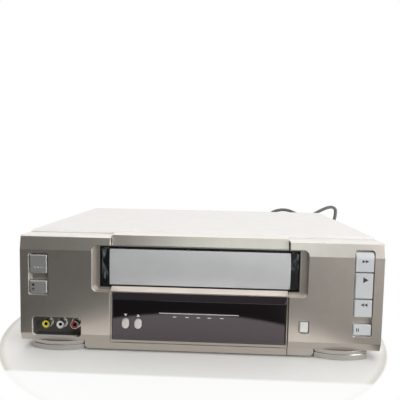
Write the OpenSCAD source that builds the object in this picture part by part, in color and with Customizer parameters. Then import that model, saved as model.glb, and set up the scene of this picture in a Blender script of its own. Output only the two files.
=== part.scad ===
// Front loading video cassette recorder, built as separate parts. Millimetres, +Z up.
// Origin: centre of the footprint, on the surface that the feet stand on. The front faces -Y.
// Most modules are drawn from the front face of the panel, y = 0, and moved by at_front().

/* [Case] */
// Width of the front panel
body_w = 350; // [348:1:390]
// Height from the table to the top of the cover
body_h = 116; // [115:0.2:124]
// Depth from the front face of the panel to the rear face
body_d = 253; // [250:1:300]
// Height of the feet
foot_h = 9; // [7:0.5:12]
// Depth of the moulded front panel
panel_depth = 24; // [22:0.5:28]
// Wall of the front panel
wall = 2.4; // [2:0.1:2.8]
// Thickness of the steel sheet of cover, chassis and rear panel
sheet = 1; // [0.8:0.1:1.4]
// How much higher the cover stands than the panel
cover_rise = 2.8; // [2:0.1:4]
// How much narrower the cover is than the panel, each side
cover_inset = 1.2; // [0.8:0.1:3]

/* [Front panel] */
// Height of the band along the top that leans back
band_h = 13.6; // [10:0.1:15]
// How far the band leans back
band_back = 2.4; // [2:0.1:4.5]
// Height of the bevel along the bottom
bevel_h = 7.4; // [4:0.1:8]
// How far the bevel goes back
bevel_back = 2.6; // [1.5:0.1:3.5]
// Half the width between the two seams of the centre column
seam_x = 86.5; // [86:0.1:87.5]
// Depth of the shallow recess round the cassette door
dish_depth = 6; // [5:0.1:6.4]
// Width of that recess
dish_w = 208.6; // [204:0.1:216]
// Height of the skirt below the panel, between the feet
skirt_h = 7.2; // [4:0.1:8]

/* [Cassette door] */
// Width of the cassette opening
slot_w = 192.8; // [192:0.1:195]
// Height of the cassette opening
slot_h = 37.6; // [35:0.1:38]
// From the top of the opening up to the top of the panel
slot_below_top = 11; // [10:0.1:12]
// Gap between the door and the opening
door_gap = 0.9; // [0.6:0.1:1.2]
// Width of the dark mirror cap at each end of the door
door_cap_w = 7.2; // [5:0.1:7.6]
// Radius of the steel hinge pins
pin_r = 1.5; // [1:0.1:1.8]

/* [Keys] */
// Width of the recess of the left keys
left_well_w = 19.6; // [18:0.1:22]
// Width of the recess of the right keys
right_well_w = 18.6; // [18:0.1:20]
// Depth of the key recesses
well_depth = 4.2; // [3:0.1:5]
// Gap round each key
key_gap = 0.4; // [0.3:0.05:0.6]
// Travel of a key
key_travel = 1.2; // [0.8:0.1:1.6]

/* [Sockets] */
// Outer radius of a phono socket
phono_r = 4.15; // [4:0.05:4.3]
// Length of a phono socket
phono_len = 8.5; // [7:0.1:9.5]
// Spacing of the phono sockets
phono_pitch = 14.4; // [14:0.1:15]
// Radius of an aerial socket
aerial_r = 4.7; // [4.5:0.05:4.9]
// Length of an aerial socket behind the rear panel
aerial_len = 10; // [8:0.1:12]

/* [Tape deck] */
// Spacing of the two reels
reel_pitch = 92; // [91:0.1:93]
// Radius of the head drum
drum_r = 31; // [30:0.1:31.5]
// Lean of the head drum in degrees
drum_lean = 6; // [4:0.1:7]
// How far the cassette travels in
travel_in = 62; // [54:0.5:64]
// Height of the lowered cassette above the deck
cassette_seat = 4.4; // [4:0.1:5]
// Radius of the capstan shaft
capstan_r = 1.5; // [1:0.1:2]
// Clearance of a shaft in its bearing
running = 0.05; // [0.02:0.01:0.1]

/* [Hidden] */

$fn = 48;
touch = 0.15;
cut = 1;

// Frame of the whole object
foot_overhang = 1;
front_y = -(foot_overhang + body_d + aerial_len) / 2 + foot_overhang;
rear_y = front_y + body_d;

// Front panel
panel_top = body_h - cover_rise;
band_z = panel_top - band_h;
bevel_z = foot_h + bevel_h;
back_y = dish_depth + 2.6;
back_rear = back_y + wall;
slot_z = panel_top - slot_below_top - slot_h;
slot_mid_z = slot_z + slot_h / 2;
slot_r = 2;
dish_z0 = slot_z - 5;
dish_z1 = slot_z + slot_h + 3.1;
dish_r = 5;
foot_x = body_w / 2 - 36.4;
foot_w = 51;
foot_gap = 1.1;
skirt_x = foot_x - foot_w / 2 - foot_gap;
skirt_r = 4;
seam_gap = 0.5;
cap_top = panel_top + 2;
cap_lip = 2.6;

// Window of the display
window_side = 1;
window_z0 = foot_h + 3;
window_z1 = dish_z0;
window_face = 0.4;
window_t = 2.4;
window_strip = 7.4;
window_lean = 3.2;

// Boards behind the panel, with their switches
board_t = 1.6;
board_y = 17;
switch_body = 3.5;
switch_plunger = 1.1;
plunger_y = board_y - switch_body - switch_plunger;
display_x = 37;
display_z = [22, 46];

// Keys: [x, z] of the middle and [width, height]
left_key_x = 18 - body_w / 2;
right_key_x = body_w / 2 - 18.5;
power_key = [[left_key_x, panel_top - 27.8], [17, 18.2]];
stop_key = [[left_key_x, panel_top - 50.5], [17, 12.4]];
play_key = [[right_key_x, panel_top - 40.5], [16.8, 24.4]];
rewind_key = [[right_key_x, panel_top - 62.35], [16.8, 16.7]];
pause_key = [[right_key_x, panel_top - 83.2], [16.8, 10.4]];
forward_key = [[right_key_x, panel_top - 17.55], [16.8, 19.1]];
record_key = [[dish_w / 2 - 2.8, 31], [8, 10.4]];
left_well = [[left_key_x, panel_top - 37.8], [left_well_w, 41.2]];
right_well = [[right_key_x, panel_top - 48.2], [right_well_w, 83.6]];
record_well = [record_key[0], [10.2, 12.6]];
channel_z = 29.2;
channel_down_x = -70.9;
channel_up_x = -58.6;
channel_w = 7;
channel_h = 9.9;
channel_travel = 0.8;

// Front sockets
bay = [[35.8 - body_w / 2, 23.3], [48.6, 19.6]];
bay_r = 3.5;
bay_back = 12;
front_jack_z = 24.2;
front_jack_x = bay[0][0] + 2.2;
front_jack_len = 8;

// Case
cover_half = body_w / 2 - cover_inset;
inner_half = cover_half - sheet;
tray_half = inner_half - touch;
cover_y0 = panel_depth + touch;
tray_z = foot_h;
tray_top = tray_z + sheet;
flange_h = 15;
rear_t = sheet + 0.4;
inner_rear = body_d - rear_t;
screw_ys = [60, body_d - 33];
screw_z = tray_z + 8;
screw_r = 1.5;

// Rear sockets
rear_jack_xs = [27 - body_w / 2, 47 - body_w / 2];
rear_jack_top_z = 64;
rear_block = [[37 - body_w / 2, rear_jack_top_z - phono_pitch], [44, 3 * phono_pitch + 6]];
rf_x = 93 - body_w / 2;
rf_z = 50;
rf_pitch = 20;
cord_x = 92;
cord_z = 85;
relief_r = 6;

// Tape deck, measured from the front face of the panel
deck_y = [34, body_d - 21];
deck_z = 36;
deck_t = 1.6;
deck_top = deck_z + deck_t;
post_r = 4;
post_xs = [-94, 94];
post_ys = [44, deck_y[1] - 8];
reel_y = 90;
reel_r = 27;
idler_pivot_y = 60;
idler_len = 30;
idler_r = 14;
drum_y = 196;
drum_gap_z = 57;
drum_gap = 0.8;
capstan_at = [66, 168];
rotor_r = 25;
cage_r = 31;
pinch_pivot = [90, 160];
pinch_len = 19.5;
pinch_rest = 210;
pinch_r = 8;
pinch_at = pinch_pivot + pinch_len * [cos(pinch_rest), sin(pinch_rest)];
guide_from = [36, 140];
guide_to = [46, 190];
guide_neck_r = 3;
erase_head_at = [-60, 160];
sound_head_at = [61, 187];
head_h = 24;
cam_at = [-72, 196];
cam_teeth = 36;
cam_r = 18;
worm_r = 4;

// Cassette carriage
plate_x = 101.2;
plate_t = 1.2;
deck_half = plate_x + plate_t + 0.6;
board_drop = 20;
slider_x = 99.6;
slider_t = 1.1;
basket_x = 97.9;
basket_t = 1.3;
basket_z = slot_z + 4.5;
cassette_h = 25;
travel_down = basket_z - deck_top - cassette_seat;
peg_r = 2;
slot_play = 0.25;
rail_z = basket_z + 28;
peg_z = basket_z + 18;
peg_ys = [46, 68];
slider_ys = [38, 78];
slot_foot = 2.9;
carriage_end = 160;

// Power cord
cord_d = 5;
cord_exit_y = 22;
coil_at = [60, 182];
coil_pitch = 5.5;
coil_in_r = 17;
coil_turns = 4;
ring_step = 15;
coil_lead = 12;
coil_tail = 24;
plug_len = 26;
plug_w = 22;

// Small helpers
module at_front() {
    translate([0, front_y, 0]) children();
}

module span(x, y, z) {
    translate([x[0], y[0], z[0]]) cube([x[1] - x[0], y[1] - y[0], z[1] - z[0]]);
}

module mirrored_x() {
    children();
    mirror([1, 0, 0]) children();
}

// A drawing in x and z, made thick along y
module plate_xz(y0, t) {
    translate([0, y0 + t, 0]) rotate([90, 0, 0]) linear_extrude(t) children();
}

// A drawing in y and z, made wide along x about the middle
module bar_x(w) {
    rotate([90, 0, 90]) translate([0, 0, -w / 2]) linear_extrude(w) children();
}

module rounded(w, h, r) {
    square([w - 2 * r, h], center = true);
    square([w, h - 2 * r], center = true);
    for (sx = [-1, 1], sz = [-1, 1]) translate([sx * (w / 2 - r), sz * (h / 2 - r)]) circle(r);
}

module rounded_at(place, grow, r) {
    translate(place[0]) rounded(place[1][0] + 2 * grow, place[1][1] + 2 * grow, r);
}

module rod_y(r, y0, y1, x, z) {
    translate([x, y1, z]) rotate([90, 0, 0]) cylinder(r = r, h = y1 - y0);
}

module rod_x(r, x0, x1, y, z) {
    translate([x0, y, z]) rotate([0, 90, 0]) cylinder(r = r, h = x1 - x0);
}

module rod_z(r, z0, z1, x, y) {
    translate([x, y, z0]) cylinder(r = r, h = z1 - z0);
}

module slot_2d(a, b, r) {
    way = b - a;
    translate(a) circle(r);
    translate(b) circle(r);
    translate(a) rotate(atan2(way[1], way[0])) translate([0, -r]) square([norm(way), 2 * r]);
}

// Front panel
module panel_outer() {
    polygon([[0, bevel_z], [0, band_z], [band_back, panel_top - 1], [band_back + 1.2, panel_top],
        [panel_depth, panel_top], [panel_depth, foot_h], [bevel_back, foot_h]]);
}

module panel_inner() {
    polygon([[wall, bevel_z + 0.6], [wall, band_z - 0.3], [band_back + wall, panel_top - wall],
        [panel_depth + cut, panel_top - wall], [panel_depth + cut, foot_h + wall],
        [bevel_back + wall, foot_h + wall]]);
}

module well(place, r) {
    plate_xz(wall, well_depth + 2 - wall) rounded_at(place, 1.6, r + 1.6);
}

module well_pocket(place, r) {
    plate_xz(-cut, well_depth + cut) rounded_at(place, 0, r);
}

module key_hole(key, r) {
    plate_xz(well_depth - cut, 2 + 2 * cut) rounded_at(key, key_gap, r + key_gap);
}

module stadium(w, h, grow) {
    slot_2d([0, -(h - w) / 2], [0, (h - w) / 2], w / 2 + grow);
}

module board_post(x, z) {
    rod_y(2.5, back_rear - cut, board_y, x, z);
}

module front_panel() {
    dish_mid = (dish_z0 + dish_z1) / 2;
    dish = [[0, dish_mid], [dish_w, dish_z1 - dish_z0]];
    opening = [[0, slot_mid_z], [slot_w, slot_h]];
    color("tan") at_front() difference() {
        union() {
            difference() {
                bar_x(body_w) panel_outer();
                bar_x(body_w - 2 * wall) panel_inner();
            }
            plate_xz(wall, back_y - wall) rounded_at(dish, wall, dish_r + wall);
            span([-dish_w / 2 - wall, dish_w / 2 + wall], [back_y, back_rear], [foot_h, panel_top - wall / 2]);
            plate_xz(bevel_back, wall) translate([0, foot_h - skirt_h / 2 + wall / 2])
                rounded(2 * skirt_x, skirt_h + wall, skirt_r);
            well(left_well, 1.5);
            well(right_well, 3);
            well(record_well, 1.8);
            mirrored_x() span([slot_w / 2 + 0.3, slot_w / 2 + 6], [back_y, pin_y() + 2.2],
                [pin_z() - 2.3, pin_z() + 4]);
            for (x = [-82, 82], z = [17, 50]) board_post(x, z);
            for (x = [57 - body_w / 2, body_w / 2 - 41], z = [panel_top - 67.4, panel_top - 17.4])
                rod_y(2.5, wall / 2, board_y, x, z);
        }
        span([-seam_x, seam_x], [-cut, back_y], [foot_h - cut / 2, body_h]);
        plate_xz(-cut, dish_depth + cut) rounded_at(dish, 0, dish_r);
        plate_xz(dish_depth - cut, back_rear) rounded_at(opening, 0, slot_r);
        span([-display_x - 1, display_x + 1], [back_y - cut, back_rear + cut], display_z + [-1, 1]);
        for (x = [channel_down_x, channel_up_x]) rod_y(3, back_y - cut, back_rear + cut, x, channel_z);
        plate_xz(back_y - cut, wall + 2 * cut) rounded_at(record_key, 1.8, 2);
        well_pocket(left_well, 1.5);
        well_pocket(right_well, 3);
        well_pocket(record_well, 1.8);
        for (key = [power_key, stop_key, forward_key, play_key, rewind_key, pause_key]) key_hole(key, 0.8);
        key_hole(record_key, 1.2);
        plate_xz(-cut, wall + bevel_back + 2 * cut) rounded_at(bay, 0, bay_r);
        mirrored_x() rod_x(pin_r, slot_w / 2 - cut, pin_end_x(), pin_y(), pin_z());
    }
}

function pin_y() = back_y + 2.2;
function pin_z() = slot_z + slot_h - 3.1;
function pin_end_x() = slot_w / 2 + 5;

// Strip above the door, its top lies on the panel
module top_trim() {
    lip = slot_z + slot_h + 0.2;
    color("tan") at_front() bar_x(2 * (seam_x - seam_gap))
        polygon([[dish_depth, lip], [dish_depth, lip + cap_lip], [dish_depth + 2.2, cap_top - 0.8],
            [dish_depth + 3, cap_top], [panel_depth, cap_top], [panel_depth, panel_top],
            [back_y, panel_top], [back_y, lip]]);
}

// Frame round the window, with the sloping ledge below the door
module window_frame() {
    ledge_z = slot_z - 0.2;
    rim = seam_x - seam_gap;
    color("tan") at_front() {
        bar_x(2 * rim) polygon([[dish_depth, ledge_z], [0.3, window_z1 + 1.2], [0.3, window_z1 + 0.2],
            [back_y, window_z1 + 0.2], [back_y, ledge_z]]);
        bar_x(2 * rim) polygon([[bevel_back - 0.8, window_z0 - 0.2], [bevel_back, foot_h],
            [back_y, foot_h], [back_y, window_z0 - 0.2]]);
        mirrored_x() span([rim - window_side, rim], [1.6, back_y], [foot_h, window_z1 + 1]);
    }
}

// Cassette door
door_half = slot_w / 2 - door_gap;
plate_half = door_half - door_cap_w - 0.2;
door_z0 = slot_z + 1;
door_z1 = slot_z + slot_h - 1.2;
door_back = back_y + 1;
door_skin = dish_depth + 2;
door_curve = 160;

module cassette_door() {
    mid = (door_z0 + door_z1) / 2;
    h = door_z1 - door_z0;
    color("silver") at_front() difference() {
        union() {
            bar_x(2 * plate_half) intersection() {
                translate([dish_depth - 0.6 + door_curve, mid]) circle(door_curve, $fn = 360);
                translate([dish_depth - cut, door_z0]) square([door_skin - dish_depth + cut, h]);
            }
            plate_xz(door_skin, door_back - door_skin) translate([0, mid]) rounded(2 * door_half, h, 2.4);
            mirrored_x() rod_x(2.6, door_half - 5, door_half - 0.6, pin_y(), pin_z());
        }
        mirrored_x() rod_x(pin_r + running, door_half - 5 - cut, door_half + cut, pin_y(), pin_z());
        mirrored_x() span([plate_half + 0.1, door_half + cut], [0, door_skin], [0, body_h]);
    }
}

module door_end_caps() {
    mid = (door_z0 + door_z1) / 2;
    h = door_z1 - door_z0;
    color("black") at_front() difference() {
        plate_xz(dish_depth - 0.3, door_skin - dish_depth + 0.3) translate([0, mid])
            rounded(2 * door_half, h, 2.4);
        span([-plate_half - 0.2, plate_half + 0.2], [0, back_y], [0, body_h]);
        mirrored_x() rod_x(2.7, plate_half, door_half + cut, pin_y(), pin_z());
    }
}

module door_pins() {
    color("gray") at_front() mirrored_x()
        rod_x(pin_r, door_half - 4.5, pin_end_x(), pin_y(), pin_z());
}

// Window and display
module window_profile(inset) {
    polygon([[window_face + inset, window_z0 + 1.8 + inset / 2],
        [window_face + inset, window_z1 - window_strip - inset / 3],
        [window_face + window_lean + inset / 3, window_z1 - inset],
        [back_y - 0.2 + inset, window_z1 - inset],
        [back_y - 0.2 + inset, window_z0 + inset],
        [window_face + 1.2 + inset, window_z0 + inset]]);
}

module display_window() {
    half = seam_x - seam_gap - window_side - 0.1;
    color([0.08, 0.08, 0.09]) at_front() difference() {
        intersection() {
            bar_x(2 * half) window_profile(0);
            translate([0, 0, foot_h]) linear_extrude(body_h)
                polygon([[-half, window_face + 1.8], [1.6 - half, window_face], [half - 1.6, window_face],
                    [half, window_face + 1.8], [half, back_y], [-half, back_y]]);
        }
        bar_x(2 * (half - 2)) window_profile(window_t);
        for (x = [channel_down_x, channel_up_x]) plate_xz(-cut, 6) translate([x, channel_z])
            stadium(channel_w, channel_h, key_gap);
    }
}

module display_tube() {
    color("darkslategray") at_front() {
        span([-display_x, display_x], [back_y + 1, board_y - 2], display_z);
        mirrored_x() span([display_x - 8, display_x - 6], [board_y - 2, board_y], [30, 38]);
    }
}

module tact_switch(x, z) {
    span([x - 3, x + 3], [board_y - switch_body, board_y], [z - 3, z + 3]);
    rod_y(1.7, plunger_y, board_y - switch_body, x, z);
}

module display_board() {
    color("darkgreen") at_front() {
        span([-86, 94], [board_y, board_y + board_t], [13, 54]);
        span([93, 112], [board_y, board_y + board_t], [13, 38]);
        tact_switch(channel_down_x, channel_z);
        tact_switch(channel_up_x, channel_z);
        tact_switch(record_key[0][0], record_key[0][1]);
    }
}

module key_boards() {
    left = -body_w / 2 + wall + 1.4;
    right = body_w / 2 - wall - 1.4;
    color("darkgreen") at_front() {
        span([left, 62 - body_w / 2], [board_y, board_y + board_t], [panel_top - 76.4, panel_top - 12.4]);
        for (key = [power_key, stop_key]) tact_switch(key[0][0], key[0][1]);
        span([body_w / 2 - 47, right], [board_y, board_y + board_t], [panel_top - 95.4, panel_top - 9.4]);
        for (key = [forward_key, play_key, rewind_key, pause_key]) tact_switch(key[0][0], key[0][1]);
    }
}

// Keys: a cap, a lip on each side behind the recess floor, and a stem to the switch
module key_back(key, front, travel) {
    lip_y = well_depth + 2.3;
    x = key[0][0];
    z = key[0][1];
    half = key[1][0] / 2;
    low = z - key[1][1] / 2;
    span([x - half - 1.2, x + half + 1.2], [lip_y, lip_y + 1.2], [low, low + key[1][1]]);
    rod_y(2.4, lip_y, plunger_y - travel - 0.2, x, z);
}

module square_key(key, r) {
    at_front() {
        plate_xz(0.4, well_depth + 2.3) rounded_at(key, 0, r);
        plate_xz(-0.2, 1) rounded_at(key, -0.5, r);
        key_back(key, 0, key_travel);
    }
}

module power_button() {
    color("darkgray") square_key(power_key, 0.8);
}

module stop_eject_button() {
    color("darkgray") square_key(stop_key, 0.8);
}

module play_button() {
    color("lightgray") square_key(play_key, 0.8);
}

module rewind_button() {
    color("lightgray") square_key(rewind_key, 0.8);
}

module pause_button() {
    color("lightgray") square_key(pause_key, 0.8);
}

module record_button() {
    color("white") square_key(record_key, 1.2);
}

// The top of this key leans back with the band
module fast_forward_button() {
    x = forward_key[0][0];
    w = forward_key[1][0];
    z0 = forward_key[0][1] - forward_key[1][1] / 2;
    z1 = z0 + forward_key[1][1];
    color("lightgray") at_front() {
        translate([x, 0, 0]) bar_x(w)
            polygon([[0.3, z0], [-0.2, z0 + 0.5], [-0.2, z1 - 6.5], [0.2, z1 - 4], [1, z1 - 1.8], [2.4, z1 - 0.4],
                [3.6, z1], [well_depth + 2.5, z1], [well_depth + 2.5, z0]]);
        key_back(forward_key, 0, key_travel);
    }
}

module channel_button(x) {
    flange_y = window_face + window_t + 0.3;
    translate([x, 0, 0]) at_front() {
        plate_xz(-0.8, flange_y + 1) translate([0, channel_z]) stadium(channel_w, channel_h, 0);
        plate_xz(flange_y, 1) translate([0, channel_z]) stadium(channel_w, channel_h, 1);
        rod_y(2, flange_y, plunger_y - channel_travel - 0.2, 0, channel_z);
    }
}

module channel_down_button() {
    color("silver") channel_button(channel_down_x);
}

module channel_up_button() {
    color("silver") channel_button(channel_up_x);
}

// Front sockets
module jack_bay() {
    color([0.12, 0.12, 0.13]) at_front() difference() {
        plate_xz(wall, bay_back + 1.6 - wall) rounded_at(bay, 0.8, bay_r + 0.8);
        plate_xz(wall - cut, bay_back - wall + cut) rounded_at(bay, 0, bay_r);
        bar_x(body_w) polygon([[-cut, bevel_z + 0.7], [wall + 0.05, bevel_z + 0.7],
            [bevel_back + wall + 0.1, foot_h + wall + 0.1], [bevel_back + wall + 0.1, -cut], [-cut, -cut]]);
        for (i = [-1, 0, 1]) rod_y(3, bay_back - cut, bay_back + 3, front_jack_x + i * phono_pitch, front_jack_z);
    }
}

// A phono socket along y from its seat to its mouth
module phono(x, z, seat, mouth, tail) {
    way = mouth > seat ? 1 : -1;
    low = min(seat, mouth);
    high = max(seat, mouth);
    difference() {
        union() {
            rod_y(phono_r, low, high, x, z);
            rod_y(phono_r + 1.2, min(seat, seat + way), max(seat, seat + way), x, z);
            rod_y(2.9, min(seat, seat - way * tail), max(seat, seat - way * tail), x, z);
        }
        rod_y(3.5, min(mouth - way * 0.6, mouth + way), max(mouth - way * 0.6, mouth + way), x, z);
        rod_y(1.7, min(mouth - way * 7, mouth), max(mouth - way * 7, mouth), x, z);
    }
}

module front_jack(i) {
    at_front() phono(front_jack_x + i * phono_pitch, front_jack_z, bay_back, bay_back - front_jack_len, 4);
}

module front_video_jack() {
    color("gold") front_jack(-1);
}

module front_left_audio_jack() {
    color("white") front_jack(0);
}

module front_right_audio_jack() {
    color("firebrick") front_jack(1);
}

// Case
module cover_outline(inset) {
    r = 3 - inset;
    half = cover_half - inset;
    top = body_h - inset;
    polygon([[-half, tray_z + 0.5 - inset], [half, tray_z + 0.5 - inset], [half, top - r], [half - r, top],
        [r - half, top], [-half, top - r]]);
    for (s = [-1, 1]) translate([s * (half - r), top - r]) circle(r);
}

module top_cover() {
    color("whitesmoke") at_front() difference() {
        plate_xz(cover_y0, body_d - 0.4 - cover_y0) cover_outline(0);
        plate_xz(cover_y0 - cut, body_d) cover_outline(sheet);
        bar_x(2 * cover_half + cut) polygon([[cover_y0 - cut, panel_top + 0.6], [cover_y0 + 0.1, panel_top + 0.6],
            [cover_y0 + 4, body_h], [cover_y0 + 4, body_h + cut], [cover_y0 - cut, body_h + cut]]);
        for (i = [0:11]) for (s = [-1, 1])
            translate([s * cover_half, body_d - 120 + 7 * i, 72]) cube([4 * sheet, 3, 26], center = true);
        for (y = screw_ys) rod_x(screw_r + 0.2, -cover_half - cut, cover_half + cut, y, screw_z);
    }
    // Sloping front lip of the cover
    color("whitesmoke") at_front() intersection() {
        bar_x(2 * cover_half) polygon([[cover_y0, panel_top - 0.4], [cover_y0, panel_top + 0.7],
            [cover_y0 + 4, body_h], [cover_y0 + 5, body_h], [cover_y0 + 5, body_h - sheet],
            [cover_y0 + 4.2, body_h - sheet], [cover_y0 + 1, panel_top - 0.4]]);
        plate_xz(cover_y0 - cut, 8) cover_outline(0);
    }
}

module bottom_chassis() {
    board_z = deck_z - board_drop;
    color("darkgray") at_front() difference() {
        union() {
            span([-tray_half, tray_half], [cover_y0, inner_rear], [tray_z, tray_top]);
            mirrored_x() span([tray_half - sheet, tray_half], [cover_y0, inner_rear], [tray_z, tray_z + flange_h]);
            for (x = post_xs, y = post_ys) rod_z(post_r, tray_top - 0.5, deck_z, x, y);
            for (x = [12 - tray_half, -deck_half - 9, deck_half + 9, tray_half - 12], y = [46, body_d - 28])
                rod_z(3, tray_top - 0.5, board_z, x, y);
        }
        for (y = screw_ys) rod_x(screw_r, -tray_half - cut, tray_half + cut, y, screw_z);
        for (i = [0:8]) span([-60 + 14 * i, -54 + 14 * i], [96, 136], [tray_z - cut, tray_top + cut]);
    }
}

module rear_panel() {
    color("dimgray") at_front() difference() {
        intersection() {
            span([-tray_half, tray_half], [inner_rear, body_d], [tray_z, body_h - sheet - touch]);
            plate_xz(inner_rear - cut, rear_t + 2 * cut) cover_outline(sheet + touch);
        }
        plate_xz(inner_rear - cut, rear_t + 2 * cut) rounded_at(rear_block, 0.2, 2);
        for (s = [-0.5, 0.5]) rod_y(aerial_r + 0.6, inner_rear - cut, body_d + cut, rf_x + s * rf_pitch, rf_z);
        rod_y(relief_r + 0.1, inner_rear - cut, body_d + cut, cord_x, cord_z);
        for (i = [0:9]) span([20 + 7 * i, 23 + 7 * i], [inner_rear - cut, body_d + cut], [70, 96]);
    }
}

module cover_screw(y) {
    difference() {
        union() {
            rod_x(3.5, cover_half, cover_half + 1.5, y, screw_z);
            rod_x(screw_r, cover_half - 4, cover_half + 0.5, y, screw_z);
        }
        span([cover_half + 0.8, cover_half + 2], [y - 2, y + 2], [screw_z - 0.4, screw_z + 0.4]);
        span([cover_half + 0.8, cover_half + 2], [y - 0.4, y + 0.4], [screw_z - 2, screw_z + 2]);
    }
}

module cover_screws() {
    color("silver") at_front() for (y = screw_ys) mirrored_x() cover_screw(y);
}

// Feet
foot_len = 40;
foot_arc = 57;

module foot_shape(inset) {
    intersection() {
        translate([0, foot_arc - foot_overhang]) circle(foot_arc - inset, $fn = 180);
        translate([0, foot_len / 2 + 3]) rounded(foot_w - 2 * inset, foot_len + 10, 3);
        translate([-foot_w, -5]) square([2 * foot_w, foot_len - panel_gap_y()]);
    }
}

function panel_gap_y() = foot_len - panel_depth - 4;

module front_feet() {
    color("silver") at_front() mirrored_x() translate([foot_x, 0, 0]) {
        linear_extrude(foot_h * 0.55) foot_shape(0);
        translate([0, 0, foot_h * 0.55]) linear_extrude(foot_h * 0.15) foot_shape(0.9);
        translate([0, 0, foot_h * 0.7]) linear_extrude(foot_h * 0.3) foot_shape(0.4);
    }
}

module rear_feet() {
    color("dimgray") at_front() mirrored_x() {
        rod_z(13, 1, foot_h, foot_x, body_d - 33);
        rod_z(11.5, 0, 1, foot_x, body_d - 33);
    }
}

// Sockets at the rear
module rear_jack_block() {
    color([0.12, 0.12, 0.13]) at_front() difference() {
        union() {
            plate_xz(inner_rear - 12, 12 + rear_t + 0.6) rounded_at(rear_block, 0, 2);
        }
        for (x = rear_jack_xs, i = [0, 1, 2])
            rod_y(3, body_d - 6, body_d + cut, x, rear_jack_top_z - i * phono_pitch);
    }
}

module rear_jacks(i) {
    seat = body_d + 0.6;
    at_front() for (x = rear_jack_xs)
        phono(x, rear_jack_top_z - i * phono_pitch, seat, seat + phono_len, 4);
}

module rear_video_jacks() {
    color("gold") rear_jacks(0);
}

module rear_left_audio_jacks() {
    color("white") rear_jacks(1);
}

module rear_right_audio_jacks() {
    color("firebrick") rear_jacks(2);
}

module rf_modulator() {
    color("silver") at_front() difference() {
        union() {
            span([rf_x - 22, rf_x + 22], [inner_rear - 17, inner_rear], [deck_z + 1, rf_z + 14]);
            for (s = [-0.5, 0.5]) {
                rod_y(aerial_r, inner_rear - cut, body_d + aerial_len, rf_x + s * rf_pitch, rf_z);
                rod_y(aerial_r + 0.5, inner_rear - cut, body_d + 0.8, rf_x + s * rf_pitch, rf_z);
            }
        }
        for (s = [-0.5, 0.5]) {
            rod_y(3.4, body_d + aerial_len - 4, body_d + aerial_len + cut, rf_x + s * rf_pitch, rf_z);
            rod_y(0.6, body_d + aerial_len - 8, body_d + aerial_len, rf_x + s * rf_pitch, rf_z);
        }
    }
}

// Boards inside the case
module main_board() {
    z = deck_z - board_drop;
    outer = 4.5 - tray_half;
    color("darkgreen") at_front() {
        span([outer, -deck_half - 3], [38, inner_rear - 13], [z, z + board_t]);
        for (i = [0:3]) span([outer + 8, outer + 26], [58 + 34 * i, 76 + 34 * i], [z, z + board_t + 3]);
        for (i = [0:5]) rod_z(3.5, z, z + board_t + 11, 8 - deck_half - 20, 56 + 24 * i);
        span([outer + 4, outer + 38], [inner_rear - 52, inner_rear - 20], [z, z + board_t + 12]);
    }
}

module power_board() {
    z = deck_z - board_drop;
    outer = tray_half - 4.5;
    color("peru") at_front() {
        span([deck_half + 3, outer], [38, inner_rear - 13], [z, z + board_t]);
        span([outer - 48, outer - 8], [60, 96], [z, z + board_t + 32]);
        rod_z(11, z, z + board_t + 30, outer - 22, 122);
        for (i = [0:3]) rod_z(5, z, z + board_t + 16, deck_half + 19, 120 + 18 * i);
        span([outer - 27, outer - 24], [146, 200], [z, z + board_t + 36]);
        for (i = [0:5]) span([outer - 24, outer - 11], [148 + 9 * i, 150 + 9 * i], [z, z + board_t + 36]);
    }
}

// Tape deck
// Slot in which a guide runs: a groove with a round hole at each end
module guide_slot() {
    way = guide_to - guide_from;
    r = guide_neck_r + 0.3;
    for (end = [guide_from, guide_to]) rod_z(r, deck_z - cut, deck_top + cut, end[0], end[1]);
    translate([guide_from[0], guide_from[1], deck_z - cut]) rotate(atan2(way[1], way[0]))
        translate([0, 0.04 - r, 0]) cube([norm(way), 2 * r - 0.08, deck_t + 2 * cut]);
}

module deck_plate() {
    color("lightsteelblue") at_front() difference() {
        union() {
            span([-deck_half, deck_half], deck_y, [deck_z, deck_top]);
            for (s = [-0.5, 0.5]) rod_z(2, deck_z + 0.5, deck_top + 16, s * reel_pitch, reel_y);
            rod_z(2, deck_z + 0.5, deck_top + 6, 0, idler_pivot_y);
            rod_z(2.5, deck_z + 0.5, deck_top + 12, pinch_pivot[0], pinch_pivot[1]);
            rod_z(2.5, deck_z + 0.5, deck_top + 9, cam_at[0], cam_at[1]);
        }
        rod_z(5.2, deck_z - cut, deck_top + cut, capstan_at[0], capstan_at[1]);
        mirrored_x() guide_slot();
    }
}

module drum_frame() {
    translate([0, drum_y, drum_gap_z]) rotate([-drum_lean, 0, 0]) children();
}

module lower_drum() {
    color("gainsboro") at_front() difference() {
        union() {
            span([-26, 26], [drum_y - 24, drum_y + 24], [deck_top, deck_top + 4.5]);
            intersection() {
                drum_frame() translate([0, 0, -20]) cylinder(r = drum_r, h = 20, $fn = 120);
                span([-50, 50], [drum_y - 50, drum_y + 50], [deck_top + 2, body_h]);
            }
        }
        drum_frame() translate([0, 0, -14]) cylinder(r = 2.5 + running, h = 20);
    }
}

module upper_drum() {
    color("white") at_front() drum_frame() {
        translate([0, 0, drum_gap]) difference() {
            cylinder(r = drum_r, h = 14, $fn = 120);
            for (a = [0:90:270]) rotate(a) translate([drum_r - 0.6, -1.2, -cut]) cube([2, 2.4, 2 + cut]);
        }
        translate([0, 0, drum_gap + 13]) cylinder(r = 21, h = 8);
        translate([0, 0, -12]) cylinder(r = 2.5, h = 14);
    }
}

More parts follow.
